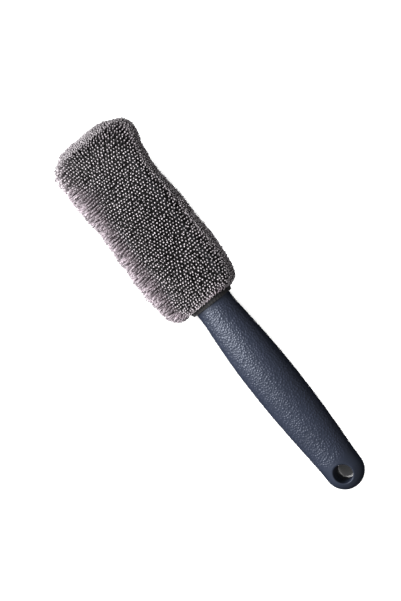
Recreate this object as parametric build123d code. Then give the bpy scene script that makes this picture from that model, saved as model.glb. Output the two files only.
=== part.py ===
from build123d import *
import math
import os

# Wheel brush lying on its back. +X runs from the hang hole to the head's tip, +Z is up out of the broad face.
# All sizes are in millimetres.

# Head: a looped-pile sleeve over a foam paddle
HEAD_TIP_X = 165.0
HEAD_MID_Z = 16.5
HEAD_HALF_THICKNESS = 16.4
MOUTH_X = 14.0
HEM_END_X = 8.5

# Blade and foam inside the sleeve
BLADE_THICKNESS = 3.0
BLADE_HALF_WIDTH = 20.5
BLADE_TIP_X = 149.0
BLADE_ROOT_X = 17.0
FOAM_THICKNESS = 6.8
FOAM_HALF_WIDTH = 23.5
FOAM_TIP_X = 152.5
FOAM_ROOT_X = 14.5
FOAM_CORNER = 18.0
FOAM_EDGE_R = 4.2
SLEEVE_CLEARANCE = 0.35

# Mouth of the sleeve: half width and half height of the hem's opening and of the elastic's two faces
HEM_OPENING = (16.9, 12.1)
ELASTIC_INNER = (17.8, 12.5)
ELASTIC_OUTER = (19.0, 13.0)

# Seam allowance between the two panels
SEAM_WIDTH = 4.0
SEAM_THICKNESS = 1.6

# Tang held inside the handle
TANG_HALF_WIDTH = 9.0
TANG_END_X = -50.0
TANG_PIN_X = (-14.0, -40.0)

# Handle
WALL = 2.5
NECK_END_X = 12.0
TAIL_CENTRE_X = -149.6
TAIL_RADIUS = 15.4
TAIL_CENTRE_Z = 11.0
HANG_HOLE_X = -151.0
HANG_HOLE_R = 6.5
HANG_LIP_R = 1.6
HANG_TUBE_R = 9.3
RIB_THICKNESS = 1.6
RIB_X = (-27.0, -66.0, -102.0, -130.0)
PIN_R = 1.9
PIN_FIT = 0.08
TANG_FIT = 0.05
BOSS_R = 4.0
FREE_PIN_X = (-86.0, -118.0)

# Reach of a cutting block, well past the object on every side
FAR = 60.0

# Handle sections: station along X, half width, half thickness
HANDLE_STATIONS = [
    (NECK_END_X, 16.4, 11.6),
    (7.0, 15.4, 11.1),
    (1.0, 15.1, 11.0),
    (-14.0, 16.1, 11.4),
    (-38.0, 17.8, 12.4),
    (-74.0, 18.5, 12.8),
    (-110.0, 17.4, 11.8),
    (-134.0, 15.9, 11.05),
    (-142.0, 15.5, 11.0),
    (TAIL_CENTRE_X, TAIL_RADIUS, TAIL_CENTRE_Z),
]

# Head sections: station along X, half width, half thickness
HEAD_STATIONS = [
    (HEM_END_X, 21.0, 13.2),
    (12.0, 27.6, 14.9),
    (18.0, 32.2, 15.9),
    (28.0, 33.8, HEAD_HALF_THICKNESS),
    (60.0, 33.8, HEAD_HALF_THICKNESS),
    (93.0, 32.1, HEAD_HALF_THICKNESS),
    (120.0, 33.2, HEAD_HALF_THICKNESS),
    (140.0, 35.5, 16.2),
    (149.0, 35.1, 15.6),
    (155.5, 31.5, 14.2),
    (160.3, 24.5, 11.2),
    (163.0, 15.8, 7.6),
    (164.5, 7.9, 3.9),
]


def handle_mid_z(x):
    """Height of the handle's middle surface, which sinks from the head's middle to the tail."""
    along = min(max((5.0 - x) / (5.0 - TAIL_CENTRE_X), 0.0), 1.0)
    return TAIL_CENTRE_Z + (HEAD_MID_Z - TAIL_CENTRE_Z) * (1.0 - along**2) ** 2


def oval(x, z, half_width, half_height, power):
    """Closed superellipse across the X axis."""
    points = []
    for i in range(16):
        turn = 2.0 * math.pi * i / 16
        c = math.cos(turn)
        s = math.sin(turn)
        reach = (abs(c) ** power + abs(s) ** power) ** (-1.0 / power)
        points.append((x, half_width * reach * c, z + half_height * reach * s))
    edge = Spline(*points, periodic=True)
    return Face(Wire([edge]))


def ellipse_at(x, z, half_width, half_height):
    """Ellipse across the X axis."""
    plane = Plane(origin=(x, 0, z), x_dir=(0, 1, 0), z_dir=(1, 0, 0))
    return plane * Ellipse(half_width, half_height)


def handle_solid(inset):
    """Handle body, drawn in by the inset on every side except the front end."""
    faces = [ellipse_at(x, handle_mid_z(x), w - inset, h - inset) for x, w, h in HANDLE_STATIONS]
    for degrees in (25, 45, 62, 76):
        turn = math.radians(degrees)
        x = TAIL_CENTRE_X - (TAIL_RADIUS - inset) * math.sin(turn)
        w = (TAIL_RADIUS - inset) * math.cos(turn)
        h = (TAIL_CENTRE_Z - inset) * math.cos(turn)
        faces.append(ellipse_at(x, TAIL_CENTRE_Z, w, h))
    tail_end = Vertex(TAIL_CENTRE_X - TAIL_RADIUS + inset, 0, TAIL_CENTRE_Z)
    return loft(faces + [tail_end])


def above_mid_surface():
    """Space above the handle's middle surface."""
    xs = [30.0, 5.0, -20.0, -45.0, -70.0, -95.0, -120.0, -150.0, -175.0]
    curve = Spline(*[(x, 0, handle_mid_z(x)) for x in xs])
    top = Polyline((-175.0, 0, handle_mid_z(-175.0)), (-175.0, 0, 70.0), (30.0, 0, 70.0), (30.0, 0, HEAD_MID_Z))
    face = Face(Wire([curve] + top.edges()))
    return extrude(face, amount=40, dir=(0, 1, 0)) + extrude(face, amount=40, dir=(0, -1, 0))


def upright(radius, x, low, high):
    return Pos(x, 0, (low + high) / 2) * Cylinder(radius, high - low)


def blade_z():
    return HEAD_MID_Z - BLADE_THICKNESS / 2, HEAD_MID_Z + BLADE_THICKNESS / 2


def block(x_low, x_high, half_width, z_low, z_high):
    """Rectangular block centred on the Y = 0 plane."""
    centre = Pos((x_low + x_high) / 2, 0, (z_low + z_high) / 2)
    return centre * Box(x_high - x_low, 2 * half_width, z_high - z_low)


def handle_body():
    """Whole hollow handle with bulkhead ribs, bosses, the tang's slot and a tube round the hang hole."""
    outer = handle_solid(0)
    cavity = handle_solid(WALL) & block(-200, NECK_END_X - WALL, FAR, -FAR, FAR)
    body = outer - cavity
    body = body + (upright(HANG_TUBE_R, HANG_HOLE_X, -FAR, FAR) & outer)
    for x in RIB_X:
        body = body + (block(x - RIB_THICKNESS / 2, x + RIB_THICKNESS / 2, FAR, -FAR, FAR) & cavity)
    for x in TANG_PIN_X + FREE_PIN_X:
        body = body + (upright(BOSS_R, x, -FAR, FAR) & outer)
    low, high = blade_z()
    body = body - block(
        TANG_END_X - 1, NECK_END_X + 1, TANG_HALF_WIDTH + 0.2, low - TANG_FIT, high + TANG_FIT
    )
    body = body - upright(HANG_HOLE_R, HANG_HOLE_X, -FAR, FAR)
    return fillet([e for e in body.edges() if is_hang_rim(e)], HANG_LIP_R)


def handle_shells():
    """Front and back halves: the back one carries the pins, the front one their sockets."""
    body = handle_body()
    upper = above_mid_surface()
    front = body & upper
    back = body - upper
    low, high = blade_z()
    pins = [(x, low - 2, high + 4) for x in TANG_PIN_X]
    pins += [(x, handle_mid_z(x) - 4, handle_mid_z(x) + 4) for x in FREE_PIN_X]
    for x, foot, tip in pins:
        front = front - upright(PIN_R + PIN_FIT, x, foot, tip + 1)
        back = back + upright(PIN_R, x, foot, tip)
    return front, back


def is_hang_rim(edge):
    """True for the two edges where the hang hole breaks the handle's surface."""
    box = edge.bounding_box()
    centre = box.center()
    wide = abs(box.size.Y - 2 * HANG_HOLE_R) < 0.2 and abs(box.size.X - 2 * HANG_HOLE_R) < 0.2
    return wide and abs(centre.X - HANG_HOLE_X) < 0.5


def tongue_outline(root_x, tip_x, half_width, tip_corner, root_corner):
    """Flat outline with straight sides, a broad rounded tip and a softly rounded root."""
    length = tip_x - root_x
    outline = Pos((tip_x + root_x) / 2, 0) * Rectangle(length, 2 * half_width)
    tip = [v for v in outline.vertices() if v.X > root_x + length / 2]
    outline = fillet(tip, tip_corner)
    root = [v for v in outline.vertices() if abs(v.X - root_x) < 0.01]
    return fillet(root, root_corner)


def paddle_core():
    """Flexible blade with three flex slots and a tang with two pin holes."""
    low, high = blade_z()
    blade = tongue_outline(BLADE_ROOT_X, BLADE_TIP_X, BLADE_HALF_WIDTH, 15.5, 7.0)
    tang_length = BLADE_ROOT_X + 4 - TANG_END_X
    tang = Pos(BLADE_ROOT_X + 4 - tang_length / 2, 0) * Rectangle(tang_length, 2 * TANG_HALF_WIDTH)
    flat = blade + tang
    inner = [v for v in flat.vertices() if abs(v.X - BLADE_ROOT_X) < 0.01 and abs(v.Y) < TANG_HALF_WIDTH + 0.01]
    flat = fillet(inner, 2.0)
    end = [v for v in flat.vertices() if abs(v.X - TANG_END_X) < 0.01]
    flat = fillet(end, 3.0)
    core = Pos(0, 0, low) * extrude(flat, BLADE_THICKNESS)
    for y in (-11.0, 0.0, 11.0):
        slot = Pos(86.0, y, low) * extrude(SlotOverall(92.0, 4.0), BLADE_THICKNESS)
        core = core - slot
    for x in TANG_PIN_X:
        core = core - upright(PIN_R + 0.15, x, low - 1, high + 1)
    return core


def foam_pad(side):
    """One foam pad, bonded to the blade's upper face (side 1) or lower face (side -1)."""
    outline = tongue_outline(FOAM_ROOT_X, FOAM_TIP_X, FOAM_HALF_WIDTH, FOAM_CORNER, 8.0)
    pad = extrude(outline, FOAM_THICKNESS)
    pad = fillet(pad.faces().sort_by(Axis.Z)[-1].edges(), FOAM_EDGE_R)
    if side > 0:
        return Pos(0, 0, HEAD_MID_Z + BLADE_THICKNESS / 2) * pad
    return Pos(0, 0, HEAD_MID_Z - BLADE_THICKNESS / 2) * mirror(pad, about=Plane.XY)


def head_solid():
    """Outside of the pile, hem included."""
    faces = [oval(x, HEAD_MID_Z, w, h, 2.5) for x, w, h in HEAD_STATIONS]
    return loft(faces + [Vertex(HEAD_TIP_X, 0, HEAD_MID_Z)])


def sleeve_space():
    """Room inside the sleeve for the blade and the foam, open at the mouth."""
    reach = FOAM_TIP_X + SLEEVE_CLEARANCE
    half_width = FOAM_HALF_WIDTH + SLEEVE_CLEARANCE
    half_height = BLADE_THICKNESS / 2 + FOAM_THICKNESS + SLEEVE_CLEARANCE
    outline = tongue_outline(-10.0, reach, half_width, FOAM_CORNER + SLEEVE_CLEARANCE, 1.0)
    half = extrude(outline, half_height)
    half = fillet(half.faces().sort_by(Axis.Z)[-1].edges(), FOAM_EDGE_R - 0.2)
    whole = half + mirror(half, about=Plane.XY)
    return Pos(0, 0, HEAD_MID_Z) * whole


def seam_allowance():
    """Flat U-shaped band between the panels, from the sleeve's inner face outwards."""
    reach = FOAM_TIP_X + SLEEVE_CLEARANCE
    half_width = FOAM_HALF_WIDTH + SLEEVE_CLEARANCE
    corner = FOAM_CORNER + SLEEVE_CLEARANCE
    outside = tongue_outline(-10.0, reach + SEAM_WIDTH, half_width + SEAM_WIDTH, corner + SEAM_WIDTH, 1.0)
    inside = tongue_outline(-12.0, reach, half_width, corner, 1.0)
    band = extrude(outside, SEAM_THICKNESS) - extrude(inside, SEAM_THICKNESS)
    band = Pos(0, 0, HEAD_MID_Z - SEAM_THICKNESS / 2) * band
    return band & block(MOUTH_X, 200, FAR, -FAR, FAR)


def cover_panels():
    """Upper and lower pile panels, which meet at the middle plane."""
    sleeve = (head_solid() & block(MOUTH_X, 200, FAR, -FAR, FAR)) - sleeve_space() - seam_allowance()
    upper = block(-50, 200, FAR, HEAD_MID_Z, HEAD_MID_Z + FAR)
    return sleeve & upper, sleeve - upper


def ring(x_low, x_high, z, inner, outer):
    """Oval ring across the X axis with straight walls."""
    outside = extrude(ellipse_at(x_low, z, *outer), amount=x_high - x_low, dir=(1, 0, 0))
    inside = extrude(ellipse_at(x_low, z, *inner), amount=x_high - x_low, dir=(1, 0, 0))
    return outside - inside


def mouth_hem():
    """Gathered hem that closes the sleeve round the neck, with a channel for the elastic."""
    behind = block(0, MOUTH_X, FAR, -FAR, FAR)
    neck = extrude(ellipse_at(0, HEAD_MID_Z, *HEM_OPENING), amount=40, dir=(1, 0, 0))
    return (head_solid() & behind) - neck - mouth_elastic()


def mouth_elastic():
    """Flat elastic in the hem."""
    return ring(9.7, 12.7, HEAD_MID_Z, ELASTIC_INNER, ELASTIC_OUTER)


def save(solid, name):
    solid.label = name
    export_step(solid, os.path.join("parts", name + ".step"))


def main():
    os.makedirs("parts", exist_ok=True)
    front_shell, back_shell = handle_shells()
    front_panel, back_panel = cover_panels()
    save(front_shell, "handle_front_shell")
    save(back_shell, "handle_back_shell")
    save(paddle_core(), "paddle_core")
    save(foam_pad(1), "foam_pad_front")
    save(foam_pad(-1), "foam_pad_back")
    save(front_panel, "cover_front_panel")
    save(back_panel, "cover_back_panel")
    save(seam_allowance(), "cover_side_seam")
    save(mouth_hem(), "cover_mouth_hem")
    save(mouth_elastic(), "cover_mouth_elastic")


main()
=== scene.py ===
"""Wheel brush: a looped-pile sleeve over a flat foam paddle, on a pebble-grained handle with a hang hole.

Everything is in metres in the row's frame: +X from the hang hole to the head's tip, +Z up, lying on z = 0.
Lengths written in millimetres are multiplied by MM.
"""

import itertools
import math

import bmesh
import bpy
import numpy as np
from mathutils import Matrix, Vector, noise


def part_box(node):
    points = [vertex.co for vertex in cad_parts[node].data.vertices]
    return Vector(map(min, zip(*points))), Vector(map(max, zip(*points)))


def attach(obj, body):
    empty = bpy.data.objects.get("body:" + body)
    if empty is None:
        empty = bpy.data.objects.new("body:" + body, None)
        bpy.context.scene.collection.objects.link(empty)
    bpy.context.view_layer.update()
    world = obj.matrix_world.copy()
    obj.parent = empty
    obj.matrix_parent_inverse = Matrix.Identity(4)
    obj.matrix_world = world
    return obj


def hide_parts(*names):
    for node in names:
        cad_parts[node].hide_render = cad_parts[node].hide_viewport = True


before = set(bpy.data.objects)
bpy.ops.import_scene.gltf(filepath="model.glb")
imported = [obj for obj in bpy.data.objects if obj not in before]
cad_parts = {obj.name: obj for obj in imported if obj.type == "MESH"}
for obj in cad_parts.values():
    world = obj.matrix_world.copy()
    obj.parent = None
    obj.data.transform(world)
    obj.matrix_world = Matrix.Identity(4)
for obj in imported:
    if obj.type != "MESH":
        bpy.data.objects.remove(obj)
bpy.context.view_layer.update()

MM = 0.001

# ---------------------------------------------------------------- sizes shared with the CAD frame

BLADE_LOW, BLADE_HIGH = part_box("paddle_core")
HEAD_MID_Z = (BLADE_LOW[2] + BLADE_HIGH[2]) / 2
FOAM_HALF_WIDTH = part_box("foam_pad_front")[1][1]
FOAM_CORNER = 18.0 * MM
NECK_END_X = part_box("handle_front_shell")[1][0]

# The handle's round tail and its hang hole; the rim is rolled over LIP and opens to the mouth's radius
TAIL_CENTRE_X = -149.6 * MM
TAIL_RADIUS = 15.4 * MM
TAIL_CENTRE_Z = 11.0 * MM
HOLE_X = -151.0 * MM
HOLE_R = 6.5 * MM
HOLE_MOUTH_R = 7.3 * MM
LIP = 1.5 * MM
# The handle's mesh: where the grip's rows end and the tail's rings begin, and how fine each is
JOIN_X = -134.0 * MM
GRIP_STEP, GRIP_TURNS = 0.34 * MM, 150
TAIL_STEPS, TAIL_RINGS, LIP_RINGS, WALL_RINGS = 200, 34, 10, 8
SLOPE_STEP = 0.3 * MM
GRAIN_CELL, GRAIN_HEIGHT = 1.7 * MM, 0.28 * MM
GROOVE_DEPTH, GROOVE_WIDTH = 0.10 * MM, 0.25 * MM

# Handle sections: station along X, half width, half thickness, in millimetres
HANDLE_STATIONS = [
    (12.0, 16.4, 11.6), (7.0, 15.4, 11.1), (1.0, 15.1, 11.0), (-14.0, 16.1, 11.4),
    (-38.0, 17.8, 12.4), (-74.0, 18.5, 12.8), (-110.0, 17.4, 11.8), (-134.0, 15.9, 11.05),
    (-142.0, 15.5, 11.0), (-149.6, 15.4, 11.0),
]

# Sleeve sections in millimetres, from the mouth round the tip: the knitted ground as x, half width and
# half height, then the same for the surface that the pile's tips reach
SLEEVE_STATIONS = [
    ((12.6, 18.6, 13.4), (9.2, 20.8, 15.1)),
    ((13.8, 20.6, 12.6), (10.4, 25.4, 15.7)),
    ((15.6, 22.6, 11.3), (13.2, 29.4, 16.0)),
    ((19.2, 24.2, 10.1), (19.0, 32.6, 16.2)),
    ((28.5, 24.7, 9.5), (28.5, 34.2, 16.4)),
    ((60.0, 24.7, 9.5), (60.0, 34.8, 16.4)),
    ((93.0, 24.7, 9.5), (93.0, 33.6, 16.4)),
    ((120.0, 24.9, 9.5), (120.0, 34.1, 16.4)),
    ((135.5, 25.8, 9.45), (137.0, 35.8, 16.2)),
    ((145.0, 25.6, 9.4), (146.5, 36.4, 15.7)),
    ((150.6, 21.8, 9.0), (154.0, 33.4, 14.2)),
    ((153.4, 16.2, 8.0), (158.5, 27.0, 11.6)),
    ((155.1, 10.2, 6.0), (161.5, 20.0, 8.7)),
    ((156.1, 4.8, 3.2), (162.8, 11.0, 5.2)),
    ((156.4, 0.0, 0.0), (163.2, 0.0, 0.0)),
]

# How the nap lies across a middle section: y of a loop's tip, then y of its root, in millimetres, before
# pile_lean moves all the tips towards +Y. The sleeve's sections are superellipses of these two powers.
FRONT_NAP = [
    (35.2, 24.7), (31.0, 24.0), (24.1, 21.6), (14.1, 16.2), (4.6, 8.7),
    (-4.4, 0.9), (-14.4, -8.7), (-24.4, -18.6), (-31.9, -24.0), (-35.2, -24.7),
]
BACK_NAP = [
    (35.2, 24.7), (31.0, 24.0), (22.0, 19.6), (11.0, 10.4), (0.0, 0.0),
    (-11.0, -10.4), (-22.0, -19.6), (-31.0, -24.0), (-35.2, -24.7),
]
GROUND_POWER, TIP_POWER = 3.6, 2.5

# The pile: its loops' spacing and radius, how uneven they are, and how finely each is made
PILE_PITCH, PILE_R = 2.4 * MM, 0.50 * MM
UNEVEN = 0.09
PILE_RINGS, PILE_SIDES = 10, 8
LOOP_LOWEST = 0.05 * MM
# Rows between the rows: past these shares of the half width on the +Y and -Y sides, and past this x.
# They stand closer along the row, and the loops of the +Y side stray further out of their rows.
FAN_SHARE, FAN_SHARE_RIGHT, FAN_TIP_X = 0.84, 0.93, 156 * MM
FAN_SPACING, FAN_STRAY = 0.68, 2.8
# Where the pile of each face is cut into three pieces
PILE_THIRDS = (62 * MM, 115 * MM)

CLOTH_THICKNESS = 0.7 * MM
GROUND_STEPS = 90
BAND_STEPS = 240

# Stage: the camera's place and the lights, in metres
VIEW_TILT, VIEW_TURN, VIEW_DISTANCE = math.radians(18.5), math.radians(52.3), 1.5
VIEW_HEIGHT = 442.7 * MM
GRIP_X, GRIP_RIGHT, GRIP_DOWN = -75.9 * MM, 60.254 * MM, 66.662 * MM
KEY_PLACE, KEY_TARGET, KEY_SIZE, KEY_POWER = (0.44, 0.56, 0.76), (0, 0, 0.02), 0.55, 26.0
FILL_PLACES, FILL_SIZE, FILL_POWER = ((0.1, -1.15, 1.15), (-1.15, -0.3, 1.15)), 0.5, 46.0
WORLD_STRENGTH, WORLD_BELOW = 0.34, 0.03
FLOOR_HALF = 3

# Seeds; without the second, noise_vector would take its offsets from the clock
SEED, NOISE_SEED = 7, 11
noise.seed_set(NOISE_SEED)


# ---------------------------------------------------------------- small tools

def smooth_line(xs, ys):
    """Natural cubic spline through the points, as a function of an array."""
    order = np.argsort(xs)
    x = np.array(xs, float)[order]
    y = np.array(ys, float)[order]
    count = len(x)
    gap = np.diff(x)
    matrix = np.zeros((count, count))
    right = np.zeros(count)
    matrix[0, 0] = matrix[-1, -1] = 1.0
    for i in range(1, count - 1):
        matrix[i, i - 1: i + 2] = gap[i - 1], 2 * (gap[i - 1] + gap[i]), gap[i]
        right[i] = 6 * ((y[i + 1] - y[i]) / gap[i] - (y[i] - y[i - 1]) / gap[i - 1])
    bend = np.linalg.solve(matrix, right)

    def line(at):
        at = np.clip(np.asarray(at, float), x[0], x[-1])
        i = np.clip(np.searchsorted(x, at) - 1, 0, count - 2)
        wide = gap[i]
        done, left = at - x[i], x[i + 1] - at
        curved = (bend[i] * left**3 + bend[i + 1] * done**3) / (6 * wide)
        return (curved + (y[i] / wide - bend[i] * wide / 6) * left
                + (y[i + 1] / wide - bend[i + 1] * wide / 6) * done)

    return line


def smoothstep(low, high, value):
    """0 below low, 1 above high, and a smooth step between."""
    t = np.clip((value - low) / (high - low), 0, 1)
    return t * t * (3 - 2 * t)


def new_object(name, data):
    obj = bpy.data.objects.new(name, data)
    bpy.context.scene.collection.objects.link(obj)
    return obj


def new_mesh(name, points, faces):
    mesh = bpy.data.meshes.new(name)
    mesh.from_pydata(np.asarray(points, float).tolist(), [], faces)
    mesh.validate()
    mesh.shade_smooth()
    return new_object(name, mesh)


def quads(rows, columns, first=0, wrap=False, flip=False):
    """Quads between rows of points stored one row after another."""
    faces = []
    for i in range(rows - 1):
        for j in range(columns if wrap else columns - 1):
            k = (j + 1) % columns
            a, b = first + i * columns + j, first + i * columns + k
            c, d = a + columns, b + columns
            faces.append((a, c, d, b) if flip else (a, b, d, c))
    return faces


def ring_faces(rings):
    """Quads between neighbouring closed rings, each a list of point numbers."""
    faces = []
    for a, b in zip(rings, rings[1:]):
        for j in range(len(a)):
            k = (j + 1) % len(a)
            faces.append((a[j], b[j], b[k], a[k]))
    return faces


def face_outwards(obj):
    """Turns every face of a closed mesh to point out."""
    bm = bmesh.new()
    bm.from_mesh(obj.data)
    bmesh.ops.recalc_face_normals(bm, faces=bm.faces)
    bm.to_mesh(obj.data)
    bm.free()


def settle(obj, body, slot, material, *nodes):
    """Gives a finished piece its material and body, and hides the CAD nodes that it stands for; the slot
    argument is not used.
    """
    obj.data.materials.clear()
    obj.data.materials.append(material)
    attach(obj, body)
    if nodes:
        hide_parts(*nodes)
    return obj


# ---------------------------------------------------------------- materials

def new_material(name):
    material = bpy.data.materials.new(name)
    material.use_nodes = True
    tree = material.node_tree
    return material, tree, tree.nodes["Principled BSDF"]


def node(tree, kind, **values):
    """New shader node with these properties and inputs set; underscores stand for an input's spaces."""
    made = tree.nodes.new(kind)
    for key, value in values.items():
        if hasattr(made, key):
            setattr(made, key, value)
        else:
            made.inputs[key.replace("_", " ")].default_value = value
    return made


def ramp(tree, source, stops):
    made = tree.nodes.new("ShaderNodeValToRGB")
    while len(made.color_ramp.elements) < len(stops):
        made.color_ramp.elements.new(0.5)
    for element, (place, colour) in zip(made.color_ramp.elements, stops):
        element.position = place
        element.color = (*colour, 1)
    tree.links.new(source, made.inputs[0])
    return made.outputs[0]


def bump(tree, height, strength, distance):
    made = node(tree, "ShaderNodeBump", Strength=strength, Distance=distance)
    tree.links.new(height, made.inputs["Height"])
    return made.outputs["Normal"]


def texture(tree, kind, **values):
    """New texture node that is fixed to the object's own space."""
    made = node(tree, kind, **values)
    tree.links.new(tree.nodes.new("ShaderNodeTexCoord").outputs["Object"], made.inputs["Vector"])
    return made


def colour_mix(tree, factor, first, blend="MIX"):
    """New colour mix node with its first colour linked; factor is a socket or a number."""
    made = tree.nodes.new("ShaderNodeMix")
    made.data_type = "RGBA"
    made.blend_type = blend
    if isinstance(factor, float):
        made.inputs["Factor"].default_value = factor
    else:
        tree.links.new(factor, made.inputs["Factor"])
    tree.links.new(first, made.inputs["A"])
    return made


def product(tree, first, second):
    made = node(tree, "ShaderNodeMath", operation="MULTIPLY")
    tree.links.new(first, made.inputs[0])
    tree.links.new(second, made.inputs[1])
    return made.outputs[0]


def roughness(tree, shader, source, low, high):
    """Roughness that runs from low to high with the source."""
    rough = node(tree, "ShaderNodeMapRange", To_Min=low, To_Max=high)
    tree.links.new(source, rough.inputs["Value"])
    tree.links.new(rough.outputs["Result"], shader.inputs["Roughness"])


def handle_material():
    """Moulded dark blue-grey plastic; the mesh has the pebble grain, and an attribute gives its height."""
    material, tree, shader = new_material("handle_moulded_plastic")
    grain = node(tree, "ShaderNodeAttribute", attribute_name="grain")
    mottle = texture(tree, "ShaderNodeTexNoise", Scale=55.0, Detail=3.0)
    stops = [(0.3, (0.012, 0.0165, 0.030)), (0.7, (0.0155, 0.021, 0.038))]
    # Raised grain is coloured lighter than the hollows
    lighter_grain_tops = colour_mix(tree, grain.outputs["Fac"], ramp(tree, mottle.outputs["Fac"], stops))
    lighter_grain_tops.inputs["B"].default_value = (0.021, 0.0265, 0.047, 1)
    tree.links.new(lighter_grain_tops.outputs["Result"], shader.inputs["Base Color"])
    fine = texture(tree, "ShaderNodeTexNoise", Scale=2600.0, Detail=2.0)
    roughness(tree, shader, fine.outputs["Fac"], 0.37, 0.47)
    tree.links.new(bump(tree, fine.outputs["Fac"], 0.25, 0.04 * MM), shader.inputs["Normal"])
    shader.inputs["Specular IOR Level"].default_value = 0.6
    shader.inputs["Specular Tint"].default_value = (0.82, 0.87, 1.0, 1)
    return material


def pile_material():
    """Twisted microfibre yarn: pale at the tip, darkened towards the root as painted shade between the
    loops, each loop a little different.

    The mesh's yarn attribute holds the place along the loop, the loop's tone, and its lean to the lit +Y
    side, where painted light makes the shafts paler.
    """
    material, tree, shader = new_material("microfibre_pile")
    look = node(tree, "ShaderNodeAttribute", attribute_name="yarn")
    parts = tree.nodes.new("ShaderNodeSeparateColor")
    tree.links.new(look.outputs["Color"], parts.inputs["Color"])
    # Painted shade: shafts dark towards the root stand for the shadow between the loops
    painted_gap_shade = ramp(tree, parts.outputs["Red"], [
        (0.0, (0.010, 0.0080, 0.0095)), (0.6, (0.036, 0.028, 0.034)), (0.88, (0.16, 0.134, 0.150)),
        (0.98, (0.80, 0.745, 0.775)),
    ])
    # Painted light: paler shafts for the loops on the lit +Y side
    painted_lit_flank = ramp(tree, parts.outputs["Red"], [
        (0.0, (0.042, 0.033, 0.039)), (0.4, (0.16, 0.128, 0.147)), (0.75, (0.33, 0.274, 0.308)),
        (1.0, (0.40, 0.350, 0.380)),
    ])
    along = colour_mix(tree, parts.outputs["Blue"], painted_gap_shade)
    tree.links.new(painted_lit_flank, along.inputs["B"])
    tone = node(tree, "ShaderNodeMapRange", To_Min=0.45, To_Max=1.35)
    tree.links.new(parts.outputs["Green"], tone.inputs["Value"])
    shade = colour_mix(tree, 1.0, along.outputs["Result"], "MULTIPLY")
    tree.links.new(tone.outputs["Result"], shade.inputs["B"])
    tree.links.new(shade.outputs["Result"], shader.inputs["Base Color"])
    fibre = texture(tree, "ShaderNodeTexNoise", Scale=5200.0, Detail=2.0)
    tree.links.new(bump(tree, fibre.outputs["Fac"], 0.5, 0.12 * MM), shader.inputs["Normal"])
    shader.inputs["Roughness"].default_value = 0.75
    shader.inputs["Specular IOR Level"].default_value = 0.3
    shader.inputs["Sheen Weight"].default_value = 0.35
    shader.inputs["Sheen Roughness"].default_value = 0.4
    return material


def knit_material(name, dark, light, scale=900.0):
    """Knitted or woven ground cloth with crossed ribs of yarn."""
    material, tree, shader = new_material(name)
    along = texture(tree, "ShaderNodeTexWave", bands_direction="X", Scale=scale, Distortion=1.5)
    across = texture(tree, "ShaderNodeTexWave", bands_direction="Y", Scale=scale * 0.8, Distortion=1.5)
    ribs = product(tree, along.outputs["Fac"], across.outputs["Fac"])
    tree.links.new(ramp(tree, ribs, [(0.1, dark), (0.8, light)]), shader.inputs["Base Color"])
    tree.links.new(bump(tree, ribs, 0.7, 0.3 * MM), shader.inputs["Normal"])
    shader.inputs["Roughness"].default_value = 0.85
    shader.inputs["Sheen Weight"].default_value = 0.2
    return material


def foam_material():
    """Open-cell foam: charcoal, with small dark pores of two sizes."""
    material, tree, shader = new_material("open_cell_foam")
    small = texture(tree, "ShaderNodeTexVoronoi", Scale=1100.0)
    large = texture(tree, "ShaderNodeTexVoronoi", Scale=420.0)
    pores = product(tree, small.outputs["Distance"], large.outputs["Distance"])
    stops = [(0.0, (0.012, 0.012, 0.014)), (0.16, (0.05, 0.05, 0.055)), (0.5, (0.10, 0.10, 0.11))]
    tree.links.new(ramp(tree, pores, stops), shader.inputs["Base Color"])
    tree.links.new(bump(tree, pores, 0.9, 0.6 * MM), shader.inputs["Normal"])
    shader.inputs["Roughness"].default_value = 0.95
    shader.inputs["Specular IOR Level"].default_value = 0.2
    return material


def blade_material():
    """Flexible injection-moulded blade, black, with faint flow marks."""
    material, tree, shader = new_material("blade_plastic")
    flow = texture(tree, "ShaderNodeTexNoise", Scale=90.0, Detail=4.0, Distortion=1.2)
    stops = [(0.3, (0.016, 0.016, 0.018)), (0.7, (0.026, 0.026, 0.029))]
    tree.links.new(ramp(tree, flow.outputs["Fac"], stops), shader.inputs["Base Color"])
    roughness(tree, shader, flow.outputs["Fac"], 0.32, 0.48)
    fine = texture(tree, "ShaderNodeTexNoise", Scale=1800.0, Detail=2.0)
    tree.links.new(bump(tree, fine.outputs["Fac"], 0.2, 0.03 * MM), shader.inputs["Normal"])
    return material


def thread_material(name, dark, light):
    """Twisted thread: fine slanting stripes."""
    material, tree, shader = new_material(name)
    twist = texture(tree, "ShaderNodeTexWave", bands_direction="DIAGONAL", Scale=1400.0, Distortion=0.6)
    stripes = ramp(tree, twist.outputs["Fac"], [(0.2, dark), (0.8, light)])
    tree.links.new(stripes, shader.inputs["Base Color"])
    tree.links.new(bump(tree, twist.outputs["Fac"], 0.6, 0.2 * MM), shader.inputs["Normal"])
    shader.inputs["Roughness"].default_value = 0.7
    return material


def floor_material():
    """Plain pale studio floor with a trace of unevenness."""
    material, tree, shader = new_material("studio_floor")
    tint = texture(tree, "ShaderNodeTexNoise", Scale=3.0)
    stops = [(0.0, (0.54, 0.54, 0.54)), (1.0, (0.56, 0.56, 0.56))]
    tree.links.new(ramp(tree, tint.outputs["Fac"], stops), shader.inputs["Base Color"])
    shader.inputs["Roughness"].default_value = 0.9
    shader.inputs["Specular IOR Level"].default_value = 0.1
    return material


# ---------------------------------------------------------------- handle

half_width_mm = smooth_line([s[0] for s in HANDLE_STATIONS], [s[1] for s in HANDLE_STATIONS])
half_height_mm = smooth_line([s[0] for s in HANDLE_STATIONS], [s[2] for s in HANDLE_STATIONS])


def tail_share(x):
    """1 along the handle, falling to 0 at the tail's rounded end."""
    back = np.clip((TAIL_CENTRE_X - np.asarray(x, float)) / TAIL_RADIUS, 0, 1)
    return np.sqrt(1 - back * back)


def handle_half_width(x):
    return half_width_mm(np.asarray(x) / MM) * MM * tail_share(x)


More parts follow.
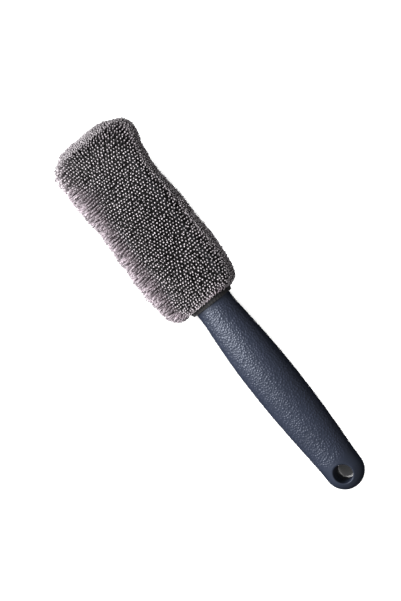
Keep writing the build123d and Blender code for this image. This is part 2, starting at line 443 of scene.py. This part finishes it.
def handle_half_height(x):
    return half_height_mm(np.asarray(x) / MM) * MM * tail_share(x)


def handle_mid_z(x):
    along = np.clip((5 * MM - np.asarray(x, float)) / (5 * MM - TAIL_CENTRE_X), 0, 1)
    return TAIL_CENTRE_Z + (HEAD_MID_Z - TAIL_CENTRE_Z) * (1 - along**2) ** 2


def handle_rise(x, y):
    """Height of the handle's surface above its middle surface."""
    share = np.clip(np.asarray(y) / np.maximum(handle_half_width(x), 1e-9), -1, 1)
    return handle_half_height(x) * np.sqrt(1 - share**2)


def pebble(points, cell):
    """Height of the pebble grain at each point: rounded cells with narrow valleys between, from 0 to 1."""
    heights = np.empty(len(points))
    for i, p in enumerate(points):
        near, _ = noise.voronoi(Vector(p) / cell, distance_metric="DISTANCE")
        heights[i] = near[1] - near[0]
    return smoothstep(0.0, 0.45, heights)


def handle_surface(x, y, side):
    """Height of the handle's outer surface, on the front (side 1) or the back (side -1)."""
    return handle_mid_z(x) + side * handle_rise(x, y)


def tail_outline(angles):
    """The tail in plan: the row where it joins the grip, then the points round its end."""
    row = np.column_stack([np.full(angles.size, JOIN_X), handle_half_width(JOIN_X) * np.cos(angles)])
    straight = JOIN_X - TAIL_CENTRE_X
    arc = math.pi * TAIL_RADIUS
    edge = []
    for way in np.linspace(0, 2 * straight + arc, TAIL_STEPS + 1)[1:-1]:
        if way < straight:
            edge.append((JOIN_X - way, -float(handle_half_width(JOIN_X - way))))
        elif way < straight + arc:
            turn = (way - straight) / TAIL_RADIUS
            edge.append((TAIL_CENTRE_X - TAIL_RADIUS * math.sin(turn), -TAIL_RADIUS * math.cos(turn)))
        else:
            x = TAIL_CENTRE_X + (way - straight - arc)
            edge.append((x, float(handle_half_width(x))))
    return row, np.array(edge)


def tail_rings(outer, steep, side):
    """Rings from the tail's outline in to the hang hole, over its rolled lip and down its tapered wall."""
    centre = np.array([HOLE_X, 0])
    away = outer - centre
    away /= np.linalg.norm(away, axis=1)[:, None]
    inner = centre + away * (HOLE_MOUTH_R + LIP)
    rings = []
    for s in np.arange(TAIL_RINGS - 1, -1, -1) / TAIL_RINGS:
        share = (1 - steep) * s + steep * math.sin(s * math.pi / 2)
        flat = inner + (outer - inner) * share[:, None]
        rings.append(np.column_stack([flat, handle_surface(flat[:, 0], flat[:, 1], side)]))
    # The lip leaves the surface along its slope and ends down the wall
    top = rings[-1]
    within = inner - away * SLOPE_STEP
    slope = (handle_surface(within[:, 0], within[:, 1], side) - top[:, 2]) / SLOPE_STEP
    mouth, wall = centre + away * HOLE_MOUTH_R, centre + away * HOLE_R
    corner = np.column_stack([mouth, top[:, 2] + slope * LIP])
    foot = np.column_stack([mouth, corner[:, 2] - side * LIP])
    middle = np.column_stack([wall, handle_mid_z(wall[:, 0])])
    for t in np.arange(1, LIP_RINGS + 1) / LIP_RINGS:
        rings.append((1 - t) ** 2 * top + 2 * t * (1 - t) * corner + t * t * foot)
    for t in np.arange(1, WALL_RINGS + 1) / WALL_RINGS:
        rings.append(foot + (middle - foot) * t)
    return rings


def handle_half(name, side):
    """One moulded half: the grip, the tail in rings round the hang hole, and the flat parting face."""
    rows = int((NECK_END_X - JOIN_X) / GRIP_STEP) + 1
    angles = np.linspace(0, math.pi, GRIP_TURNS + 1)
    columns = angles.size
    x_grid, a_grid = np.meshgrid(np.linspace(JOIN_X, NECK_END_X, rows), angles, indexing="ij")
    y_grid = handle_half_width(x_grid) * np.cos(a_grid)
    z_grid = handle_mid_z(x_grid) + side * handle_half_height(x_grid) * np.sin(a_grid)
    grip = np.stack([x_grid, y_grid, z_grid], -1).reshape(-1, 3)

    row, edge = tail_outline(angles)
    steep = np.concatenate([np.cos(angles) ** 2, np.ones(len(edge))])
    rings = tail_rings(np.vstack([row, edge]), steep, side)
    around = len(steep)
    first_edge = len(grip) + len(rings) * around
    first_flat = first_edge + len(edge)
    points = np.vstack([
        grip, *rings,
        np.column_stack([edge, handle_mid_z(edge[:, 0])]),
        np.column_stack([row[1:-1], handle_mid_z(row[1:-1, 0])]),
    ])
    edge_ids = list(range(first_edge, first_flat))
    boundary = list(range(columns)) + edge_ids
    ring_ids = np.arange(len(grip), first_edge).reshape(-1, around).tolist()
    parting = [0] + list(range(first_flat, len(points))) + [columns - 1] + edge_ids

    faces = quads(rows, columns) + ring_faces([boundary] + ring_ids + [parting])
    for i in range(rows - 1):
        a, b = i * columns, (i + 1) * columns
        faces.append((a, b, b + columns - 1, a + columns - 1))
    faces.append(tuple(range((rows - 1) * columns, rows * columns)))
    obj = new_mesh(name, points, faces)
    face_outwards(obj)
    return obj


def settle_grain(obj, side):
    """Raises the pebble grain, cuts the fine parting groove, and keeps the grain as an attribute."""
    mesh = obj.data
    count = len(mesh.vertices)
    co = np.empty(count * 3)
    mesh.vertices.foreach_get("co", co)
    co = co.reshape(-1, 3)
    normals = np.empty(count * 3)
    mesh.vertex_normals.foreach_get("vector", normals)
    normals = normals.reshape(-1, 3)
    rise = side * (co[:, 2] - handle_mid_z(co[:, 0]))
    mask = smoothstep(-145 * MM, -133 * MM, co[:, 0]) * (1 - smoothstep(1 * MM, 7 * MM, co[:, 0]))
    mask *= smoothstep(0.1 * MM, 0.8 * MM, rise)
    mask[co[:, 0] > NECK_END_X - 0.1 * MM] = 0
    height = np.zeros(count)
    busy = mask > 0
    height[busy] = pebble(co[busy], GRAIN_CELL)
    groove = GROOVE_DEPTH * np.exp(-(rise / GROOVE_WIDTH) ** 2)
    across = np.abs(co[:, 1]) > 0.5 * handle_half_width(co[:, 0])
    outside = across | (co[:, 0] < TAIL_CENTRE_X - 8 * MM)
    near_hole = np.hypot(co[:, 0] - HOLE_X, co[:, 1]) < HOLE_R + 0.2 * MM
    groove[~outside | near_hole] = 0
    shift = GRAIN_HEIGHT * (height - 0.45) * mask
    co += normals * shift[:, None]
    flat = np.maximum(np.hypot(normals[:, 0], normals[:, 1]), 1e-6)
    outward = np.column_stack([normals[:, 0], normals[:, 1], np.zeros(count)]) / flat[:, None]
    co -= outward * groove[:, None]
    mesh.vertices.foreach_set("co", co.ravel())
    grain = mesh.attributes.new("grain", "FLOAT", "POINT")
    grain.data.foreach_set("value", (height * mask).astype(np.float32))
    mesh.update()


# ---------------------------------------------------------------- sleeve surfaces

def sleeve_line(which, part):
    """One measure of the sleeve's ground (which 0) or tip surface (1), along the way from mouth to tip."""
    tips = np.array([s[1] for s in SLEEVE_STATIONS], float)
    steps = np.hypot(np.diff(tips[:, 0]), np.diff(tips[:, 1]))
    way = np.concatenate([[0], np.cumsum(steps)])
    return smooth_line(way, [s[which][part] for s in SLEEVE_STATIONS]), way[-1]


LINES = [[sleeve_line(which, part)[0] for part in range(3)] for which in range(2)]
WAY_LENGTH = sleeve_line(1, 0)[1]


def sleeve_point(which, way, turn, power):
    """Point on the ground (0) or tip surface (1): way in mm from the mouth, turn round the X axis."""
    x, width, height = (line(way) for line in LINES[which])
    cos, sin = np.cos(turn), np.sin(turn)
    reach = (np.abs(cos) ** power + np.abs(sin) ** power) ** (-1 / power)
    y = np.maximum(width, 0) * reach * cos * MM
    z = HEAD_MID_Z + np.maximum(height, 0) * reach * sin * MM
    return np.stack([x * MM, y, z], -1)


def section_turn(y, half, power):
    """The turn at which a superellipse of that half width has its upper point at y."""
    share = np.clip(np.asarray(y, float) / half, -1, 1)
    return np.arctan2((1 - np.abs(share) ** power) ** (1 / power), share)


def nap_turns(pairs):
    """Matched turns on the tip surface and on the ground, from pairs of y in millimetres."""
    tips, roots = zip(*pairs)
    return section_turn(tips, tips[0], TIP_POWER), section_turn(roots, roots[0], GROUND_POWER)


def root_turn(turn):
    """The turn on the ground from which the loop with its tip at this turn grows."""
    front_tip, front_root = nap_turns(FRONT_NAP)
    back_tip, back_root = nap_turns(BACK_NAP)
    over = 2 * math.pi - turn
    return np.where(turn <= math.pi, np.interp(turn, front_tip, front_root),
                    2 * math.pi - np.interp(over, back_tip, back_root))


def waves(points, scale, seed):
    """Smooth random vectors, one for each point."""
    offset = Vector((seed * 3.7, seed * 1.3, seed * 5.1))
    return np.array([noise.noise_vector(Vector(p) / scale + offset) for p in points])


def pile_places():
    """Places of the loops on the tip surface, in rows across it, and the random source for what follows."""
    rng = np.random.default_rng(SEED)
    ways, turns = [], []
    dense = np.linspace(0, 2 * math.pi, 721)
    rows = int(2 * WAY_LENGTH / (PILE_PITCH / MM))
    for i in range(rows):
        way = (i + 0.5) * WAY_LENGTH / rows
        ring = sleeve_point(1, np.full(dense.size, way), dense, TIP_POWER)
        length = np.concatenate([[0], np.cumsum(np.linalg.norm(np.diff(ring, axis=0), axis=1))])
        spacing = PILE_PITCH * (FAN_SPACING if i % 2 else 1)
        count = max(3, int(round(length[-1] / spacing)))
        at = (np.arange(count) + 0.5 * (i // 2 % 2) + rng.normal(0, UNEVEN, count)) / count * length[-1]
        turn = np.interp(at % length[-1], length, dense)
        x, y, _ = sleeve_point(1, np.full(count, way), turn, TIP_POWER).T
        share = y / ring[:, 1].max()
        if i % 2:
            kept = (share > FAN_SHARE) | (share < -FAN_SHARE_RIGHT) | (x > FAN_TIP_X)
            turn, share = turn[kept], share[kept]
        turns.append(turn)
        loose = UNEVEN * PILE_PITCH / MM * (1 + FAN_STRAY * smoothstep(0.55, 0.85, share))
        ways.append(way + rng.normal(0, 1, turn.size) * loose)
    return np.clip(np.concatenate(ways), 0, WAY_LENGTH), np.concatenate(turns), rng


def pile_lean(x):
    """How far the nap lies over towards +Y: most where the sleeve is pressed in, least near the tip."""
    pressed = np.exp(-(((x - 117 * MM) / (14 * MM)) ** 2))
    return (3.4 - 1.0 * smoothstep(126 * MM, 142 * MM, x) + 1.5 * pressed) * MM


def pile_loops():
    """The loops' points, a row of points for each loop, with their roots and how their yarn looks."""
    way, turn, rng = pile_places()
    root = sleeve_point(0, way, root_turn(turn), GROUND_POWER)
    tip = sleeve_point(1, way, turn, TIP_POWER)
    count = len(way)
    tip = tip + waves(tip, 10 * MM, 1) * 0.8 * MM + waves(tip, 26 * MM, 2) * 1.4 * MM
    fan = smoothstep(20 * MM, 31 * MM, tip[:, 1])
    stray = np.column_stack([0.10 + 0.35 * fan, np.full(count, 0.10), 0.10 + 0.3 * fan]) * MM
    tip = tip + rng.normal(0, 1, (count, 3)) * stray
    tip[:, 1] += pile_lean(tip[:, 0])
    axis = tip - root
    length = np.linalg.norm(axis, axis=1)
    axis /= length[:, None]
    length *= (1 + rng.normal(0, 0.03, count)) * (1 - 0.10 * fan * rng.uniform(0, 1, count) ** 2)
    # Two directions across each loop, where its section starts, and the bow that it takes
    spin = rng.uniform(0, 2 * math.pi, count)
    helper = np.tile([1.0, 0.0, 0.0], (count, 1))
    helper[np.abs(axis[:, 0]) > 0.8] = (0.0, 1.0, 0.0)
    first = np.cross(axis, helper)
    first /= np.linalg.norm(first, axis=1)[:, None]
    second = np.cross(axis, first)
    bow = rng.normal(0, 1, (count, 2)) * ((0.28 + 0.55 * fan) * MM)[:, None]
    radius = PILE_R * (1 + rng.normal(0, 0.09, count)) * (1 + 0.15 * fan)
    twist = rng.uniform(5.5, 8.0, count)
    tone = 0.5 + rng.normal(0, 0.19, count) * (1 + 0.8 * fan)
    # Darker towards the tip, and a little along the -Y side
    tone -= 0.42 * smoothstep(145 * MM, 158 * MM, tip[:, 0])
    # Painted shade: loops along the -Y side, which faces away from the key light, are darkened
    tone -= 0.14 * smoothstep(12 * MM, 28 * MM, -tip[:, 1])
    tone = np.clip(tone, 0, 1)
    # Painted light: loops that lean to the +Y side, towards the key light, get paler shafts, less so near
    # the tip
    painted_light_share = smoothstep(0.08, 0.50, axis[:, 1])
    painted_light_share *= 1 - 0.75 * smoothstep(120 * MM, 148 * MM, root[:, 0])

    # Rings from root to tip: evenly along the yarn, then closing in a round end
    stations = np.concatenate([np.linspace(0, 0.9, PILE_RINGS - 3), [0.95, 0.985]])
    swell = np.concatenate([np.linspace(0.9, 1.0, PILE_RINGS - 3), [0.84, 0.5]])
    points = np.empty((count, len(stations) * PILE_SIDES + 1, 3))
    look = np.ones((*points.shape[:2], 4), np.float32)
    for i, (t, thick) in enumerate(zip(stations, swell)):
        centre = root + axis * (length * t)[:, None]
        arch = math.sin(t * math.pi * 0.9)
        centre = centre + first * (bow[:, 0] * arch)[:, None] + second * (bow[:, 1] * arch)[:, None]
        for j in range(PILE_SIDES):
            angle = j / PILE_SIDES * 2 * math.pi
            # Two lobes, one for each ply, wind along the loop
            size = radius * thick * (1 + 0.26 * np.cos(2 * (angle - twist * t)))
            out = first * (np.cos(angle + spin) * size)[:, None]
            out += second * (np.sin(angle + spin) * size)[:, None]
            points[:, i * PILE_SIDES + j] = centre + out
        look[:, i * PILE_SIDES: (i + 1) * PILE_SIDES, 0] = t
    points[:, -1] = root + axis * length[:, None]
    points[..., 2] = np.maximum(points[..., 2], LOOP_LOWEST)
    look[..., 1] = tone[:, None]
    look[..., 2] = painted_light_share[:, None]
    return points, root, look


def loop_faces(rings):
    """Faces of one loop: quads between its rings, and triangles that close its end in its last point."""
    sides = []
    for i in range(rings - 1):
        for j in range(PILE_SIDES):
            a, b = i * PILE_SIDES + j, i * PILE_SIDES + (j + 1) % PILE_SIDES
            sides.append((a, b, b + PILE_SIDES, a + PILE_SIDES))
    last = (rings - 1) * PILE_SIDES
    end = [(last + j, last + (j + 1) % PILE_SIDES, last + PILE_SIDES) for j in range(PILE_SIDES)]
    return np.array(sides), np.array(end)


def make_pile(material):
    """All the loops of the sleeve, as twisted two-ply yarn stubs, in three pieces on each face."""
    points, root, look = pile_loops()
    per = points.shape[1]
    sides, end = loop_faces(per // PILE_SIDES)
    front = root[:, 2] > HEAD_MID_Z
    third = np.digitize(root[:, 0], PILE_THIRDS)
    pieces = []
    for face, place in itertools.product((True, False), range(3)):
        name = "cover_%s_pile_%s" % ("front" if face else "back", ("mouth", "middle", "tip")[place])
        chosen = (front == face) & (third == place)
        base = (np.arange(chosen.sum()) * per)[:, None, None]
        quad_faces = (sides[None] + base).reshape(-1, 4)
        end_faces = (end[None] + base).reshape(-1, 3)
        obj = bulk_mesh(name, points[chosen].reshape(-1, 3), quad_faces, end_faces)
        yarn = obj.data.attributes.new("yarn", "FLOAT_COLOR", "POINT")
        yarn.data.foreach_set("color", look[chosen].ravel())
        pieces.append(settle(obj, "cover", "pile_fabric", material))
    return pieces


def bulk_mesh(name, points, quad_faces, end_faces):
    """A large mesh of quads and triangles, made in one go."""
    mesh = bpy.data.meshes.new(name)
    mesh.vertices.add(len(points))
    mesh.vertices.foreach_set("co", points.ravel())
    corners = np.concatenate([quad_faces.ravel(), end_faces.ravel()])
    starts = np.concatenate([
        np.arange(len(quad_faces)) * 4, len(quad_faces) * 4 + np.arange(len(end_faces)) * 3])
    mesh.loops.add(len(corners))
    mesh.loops.foreach_set("vertex_index", corners.astype(np.int32))
    mesh.polygons.add(len(starts))
    mesh.polygons.foreach_set("loop_start", starts.astype(np.int32))
    mesh.update(calc_edges=True)
    mesh.validate()
    mesh.shade_smooth()
    return new_object(name, mesh)


def make_ground(name, low_turn, high_turn):
    """Half of the knitted ground that carries the pile. It ends just short of the tip, where rows close."""
    way = np.linspace(0, WAY_LENGTH * 0.9999, GROUND_STEPS)
    turn = np.linspace(low_turn, high_turn, GROUND_STEPS)
    way_grid, turn_grid = np.meshgrid(way, turn, indexing="ij")
    points = sleeve_point(0, way_grid.ravel(), turn_grid.ravel(), GROUND_POWER)
    obj = new_mesh(name, points, quads(GROUND_STEPS, GROUND_STEPS))
    solid = obj.modifiers.new("thickness", "SOLIDIFY")
    solid.thickness = CLOTH_THICKNESS
    solid.offset = -1
    return obj


# ---------------------------------------------------------------- hem, elastic and seam

def oval_band(name, profile):
    """Closed band round the neck from its profile: (x, half width, half height) in metres, in order."""
    turn = np.arange(BAND_STEPS) / BAND_STEPS * 2 * math.pi
    rows = []
    for x, width, height in profile:
        row = [np.full(BAND_STEPS, x), width * np.cos(turn), HEAD_MID_Z + height * np.sin(turn)]
        rows.append(np.stack(row, -1))
    ids = np.arange(len(profile) * BAND_STEPS).reshape(-1, BAND_STEPS).tolist()
    obj = new_mesh(name, np.vstack(rows), ring_faces(ids + ids[:1]))
    face_outwards(obj)
    return obj


def make_hem(material):
    """Gathered hem round the neck: a pleated fold that thickens from its lip back into the sleeve. It starts
    forward of the pile, so that its near-black cloth also stands in for the shadow on the neck below the
    pile, as painted shade.
    """
    # In millimetres: where the fold starts and ends, its inner half width and half height, and half its
    # thickness near the lip with how fast that grows
    front, back, inner_width, inner_height, lip, growth = 6.6, 13.2, 16.9, 11.95, 0.4, 0.13
    section_steps, pleats, pleat_depth = 24, 46, 0.14 * MM
    profile = []
    for a in np.arange(section_steps) / section_steps * 2 * math.pi:
        x = (front + back) / 2 + (back - front) / 2 * math.cos(a)
        thick = lip + growth * (x - front)
        out = thick * (1 + math.sin(a))
        profile.append(np.array([x, inner_width + out, inner_height + out]) * MM)
    obj = oval_band("cover_mouth_hem_roll", profile)
    for vertex in obj.data.vertices:
        x, y, z = vertex.co
        turn = math.atan2((z - HEAD_MID_Z) / inner_height, y / inner_width)
        outward = Vector((0, y, z - HEAD_MID_Z)).normalized()
        pleat = math.sin(turn * pleats + 1.7 * math.sin(turn * 5))
        vertex.co += outward * (pleat_depth * pleat)
    obj.data.update()
    return settle(obj, "cover", "hem_fabric", material, "cover_mouth_hem")


def make_elastic(material):
    """Braided elastic inside the hem: a flat band with five rubber cords, waved between its stitches."""
    low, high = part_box("cover_mouth_elastic")
    half_width, half_height = high[1], high[2] - HEAD_MID_Z
    cords, steps_a_cord, depth, thickness = 5, 8, 0.10 * MM, 0.45 * MM
    stitches, gather = 90, 0.004
    profile = []
    for t in np.linspace(0, 1, steps_a_cord * cords + 1):
        dip = depth * (1 - abs(math.sin(t * cords * math.pi)))
        profile.append((low[0] + (high[0] - low[0]) * t, half_width - dip, half_height - dip))
    profile += [(x, w - thickness, h - thickness) for x, w, h in profile[::-1]]
    obj = oval_band("cover_mouth_elastic_band", profile)
    for vertex in obj.data.vertices:
        turn = math.atan2(vertex.co.z - HEAD_MID_Z, vertex.co.y)
        inward = Vector((0, HEAD_MID_Z)) - vertex.co.yz
        vertex.co.yz += inward * (gather * (1 + math.sin(stitches * turn)))
    obj.data.update()
    return settle(obj, "cover", "elastic", material, "cover_mouth_elastic")


def tongue_path(root, tip, half_width, corner, step):
    """Points and outward directions along a tongue's edge, from the +Y side round the tip to the -Y side."""
    side = np.arange(root, tip - corner, step)
    turn = np.linspace(0, math.pi / 2, int(corner * math.pi / 2 / step))[1:]
    end = np.arange(half_width - corner, 0, -step)[1:]
    points = np.vstack([
        np.column_stack([side, np.full(side.size, half_width)]),
        np.column_stack([tip - corner * (1 - np.sin(turn)), half_width - corner * (1 - np.cos(turn))]),
        np.column_stack([np.full(end.size, tip), end]),
    ])
    away = np.vstack([
        np.tile([0.0, 1.0], (side.size, 1)), np.column_stack([np.sin(turn), np.cos(turn)]),
        np.tile([1.0, 0.0], (end.size, 1)),
    ])
    flip = np.array([1.0, -1.0])
    return np.vstack([points, points[::-1] * flip]), np.vstack([away, away[::-1] * flip])


def make_seam(material):
    """Overlocked seam allowance between the two panels: a flat band with thread wrapped round it."""
    low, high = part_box("cover_side_seam")
    half_band, half_thickness = 2.0 * MM, (high[2] - low[2]) / 2
    step, thread_spacing, section_steps = 0.4 * MM, 2.2 * MM, 16
    corner = FOAM_CORNER + high[1] - half_band - FOAM_HALF_WIDTH
    points, away = tongue_path(low[0], high[0] - half_band, high[1] - half_band, corner, step)
    section = np.arange(section_steps) / section_steps * 2 * math.pi
    across = np.sign(np.cos(section)) * np.abs(np.cos(section)) ** 0.5 * half_band
    lift = np.sign(np.sin(section)) * np.abs(np.sin(section)) ** 0.5
    wrap = np.abs(np.sin(np.arange(len(points)) * step * math.pi / thread_spacing)) ** 0.6
    thick = half_thickness * (0.8 + 0.2 * wrap)
    widen = 0.96 + 0.04 * wrap
    plan = points[:, None] + away[:, None] * (across[None, :, None] * widen[:, None, None])
    height = HEAD_MID_Z + thick[:, None] * lift[None]
    everything = np.concatenate([plan, height[..., None]], -1).reshape(-1, 3)
    ids = np.arange(len(everything)).reshape(-1, section_steps).tolist()
    ends = [tuple(ids[0]), tuple(ids[-1][::-1])]
    obj = new_mesh("cover_side_seam_overlock", everything, ring_faces(ids) + ends)
    face_outwards(obj)
    return settle(obj, "cover", "seam_thread", material, "cover_side_seam")


# ---------------------------------------------------------------- foam pads

def tongue_half_width(x, root, tip, half_width, corner, root_corner):
    """Half width of a straight-sided tongue with rounded corners at its tip and root."""
    width = np.full(x.shape, half_width)
    for to_end, radius in ((tip - x, corner), (x - root, root_corner)):
        near = to_end < radius
        width[near] = half_width - radius + np.sqrt(np.maximum(radius**2 - (radius - to_end[near]) ** 2, 0))
    return width


def make_pad(name, cad_node, side, material):
    """Foam pad with a soft rounded edge, a little uneven as cut foam is, and flat against the blade."""
    low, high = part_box(cad_node)
    thickness = high[2] - low[2]
    flat_z = low[2] if side > 0 else high[2]
    rows, columns, edge, root_corner = 170, 64, 4.2 * MM, 8 * MM
    # Rows that stand closer towards both ends, where the outline turns
    way = np.linspace(0, 1, rows)
    xs = low[0] + (high[0] - low[0]) * (0.35 * (0.5 - 0.5 * np.cos(way * math.pi)) + 0.65 * way)
    xs[0], xs[-1] = low[0] + 0.02 * MM, high[0] - 0.02 * MM
    half = tongue_half_width(xs, low[0], high[0], FOAM_HALF_WIDTH, FOAM_CORNER, root_corner)
    share = np.sin(np.linspace(-math.pi / 2, math.pi / 2, columns))
    x_grid = np.repeat(xs[:, None], columns, 1)
    y_grid = half[:, None] * share[None]
    to_side = np.minimum(half[:, None] - np.abs(y_grid), np.minimum(x_grid - low[0], high[0] - x_grid))
    inward = np.clip(to_side / edge, 0, 1)
    drop = edge * (1 - np.sqrt(1 - (1 - inward) ** 2))
    points = np.stack([x_grid, y_grid, flat_z + side * (thickness - drop)], -1).reshape(-1, 3)
    uneven = waves(points, 14 * MM, 4)[:, 2] * 0.25 * MM
    points[:, 2] -= side * np.abs(uneven)
    bottom = points.copy()
    bottom[:, 2] = flat_z
    faces = quads(rows, columns) + quads(rows, columns, first=rows * columns, flip=True)
    total = rows * columns
    rim = [i * columns for i in range(rows)]
    rim += [(rows - 1) * columns + j for j in range(1, columns)]
    rim += [i * columns + columns - 1 for i in range(rows - 2, -1, -1)]
    rim += [j for j in range(columns - 2, 0, -1)]
    for a, b in zip(rim, rim[1:] + rim[:1]):
        faces.append((a, b, b + total, a + total))
    obj = new_mesh(name, np.vstack([points, bottom]), faces)
    face_outwards(obj)
    settle(obj, "handle", "foam", material, cad_node)
    return obj


# ---------------------------------------------------------------- camera, floor, lights

def make_camera():
    """Looks down on the brush from a little to its -Y side, with the head at the upper left."""
    forward = Vector((0, math.sin(VIEW_TILT), -math.cos(VIEW_TILT)))
    along = Vector((1, 0, 0))
    side = Vector((0, -math.cos(VIEW_TILT), -math.sin(VIEW_TILT)))
    right = -math.cos(VIEW_TURN) * along + math.sin(VIEW_TURN) * side
    up = math.sin(VIEW_TURN) * along + math.cos(VIEW_TURN) * side
    # The middle of the grip stands this far right of and below the picture's centre
    grip = Vector((GRIP_X, 0, float(handle_mid_z(GRIP_X))))
    centre = grip - right * GRIP_RIGHT + up * GRIP_DOWN
    camera = bpy.data.cameras.new("camera")
    camera.sensor_fit = "VERTICAL"
    camera.sensor_height = camera.sensor_width = 36.0
    camera.lens = camera.sensor_height * VIEW_DISTANCE / VIEW_HEIGHT
    camera.clip_start, camera.clip_end = 0.05, 20
    obj = new_object("camera", camera)
    turn = Matrix((right, up, -forward)).transposed().to_4x4()
    obj.matrix_world = Matrix.Translation(centre - forward * VIEW_DISTANCE) @ turn
    bpy.context.scene.camera = obj


def area_light(name, place, target, size, watts):
    light = bpy.data.lights.new(name, "AREA")
    light.size = size
    light.energy = watts
    obj = new_object(name, light)
    obj.location = place
    obj.rotation_euler = (Vector(target) - Vector(place)).to_track_quat("-Z", "Y").to_euler()
    return obj


def studio_world():
    """Even light from above that fades out below the horizon."""
    world = bpy.data.worlds.new("studio")
    world.use_nodes = True
    tree = world.node_tree
    background = tree.nodes["Background"]
    background.inputs["Color"].default_value = (1, 1, 1, 1)
    direction = tree.nodes.new("ShaderNodeSeparateXYZ")
    tree.links.new(tree.nodes.new("ShaderNodeTexCoord").outputs["Generated"], direction.inputs[0])
    sky = node(tree, "ShaderNodeMapRange",
               From_Min=-0.3, From_Max=0.2, To_Min=WORLD_BELOW, To_Max=WORLD_STRENGTH)
    tree.links.new(direction.outputs["Z"], sky.inputs["Value"])
    tree.links.new(sky.outputs["Result"], background.inputs["Strength"])
    return world


def make_stage():
    """Floor and lights; the floor throws no light back, so that the brush's lower sides stay dark."""
    corners = [(x * FLOOR_HALF, y * FLOOR_HALF, 0) for x, y in ((-1, -1), (1, -1), (1, 1), (-1, 1))]
    floor = new_mesh("studio_floor", corners, [(0, 1, 2, 3)])
    floor.data.materials.append(floor_material())
    floor.visible_diffuse = floor.visible_glossy = False
    scene = bpy.context.scene
    scene.world = studio_world()
    scene.view_settings.view_transform = "Standard"
    area_light("key", KEY_PLACE, KEY_TARGET, KEY_SIZE, KEY_POWER)
    # Soft fill that reaches only the floor, so that the brush's shadow on it stays faint
    floor_only = bpy.data.collections.new("floor_only")
    floor_only.objects.link(floor)
    for name, place in zip(("fill_right", "fill_foot"), FILL_PLACES):
        fill = area_light(name, place, (0, 0, 0), FILL_SIZE, FILL_POWER)
        fill.light_linking.receiver_collection = floor_only


# ---------------------------------------------------------------- the build

make_camera()
make_stage()

plastic = handle_material()
for half_name, half_side, half_node in (
    ("handle_front_half", 1, "handle_front_shell"),
    ("handle_back_half", -1, "handle_back_shell"),
):
    shell = handle_half(half_name, half_side)
    settle_grain(shell, half_side)
    settle(shell, "handle", "handle_plastic", plastic, half_node)

foam = foam_material()
make_pad("foam_front", "foam_pad_front", 1, foam)
make_pad("foam_back", "foam_pad_back", -1, foam)

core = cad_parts["paddle_core"]
core.data.materials.clear()
core.data.materials.append(blade_material())

ground_cloth = knit_material("knitted_ground", (0.010, 0.009, 0.010), (0.045, 0.038, 0.042))
ground_front = make_ground("cover_front_ground", 0.0, math.pi)
ground_back = make_ground("cover_back_ground", math.pi, 2 * math.pi)
settle(ground_front, "cover", "pile_fabric", ground_cloth, "cover_front_panel")
settle(ground_back, "cover", "pile_fabric", ground_cloth, "cover_back_panel")
pile = make_pile(pile_material())

# Near-black hem cloth: the hem's own dark colour, and painted shade for the shadow on the neck
make_hem(knit_material("hem_cloth_and_painted_neck_shade", (0.006, 0.006, 0.007), (0.024, 0.022, 0.025), 1300.0))
make_elastic(thread_material("elastic_braid", (0.012, 0.012, 0.014), (0.05, 0.05, 0.055)))
make_seam(thread_material("overlock_thread", (0.03, 0.026, 0.028), (0.10, 0.09, 0.095)))
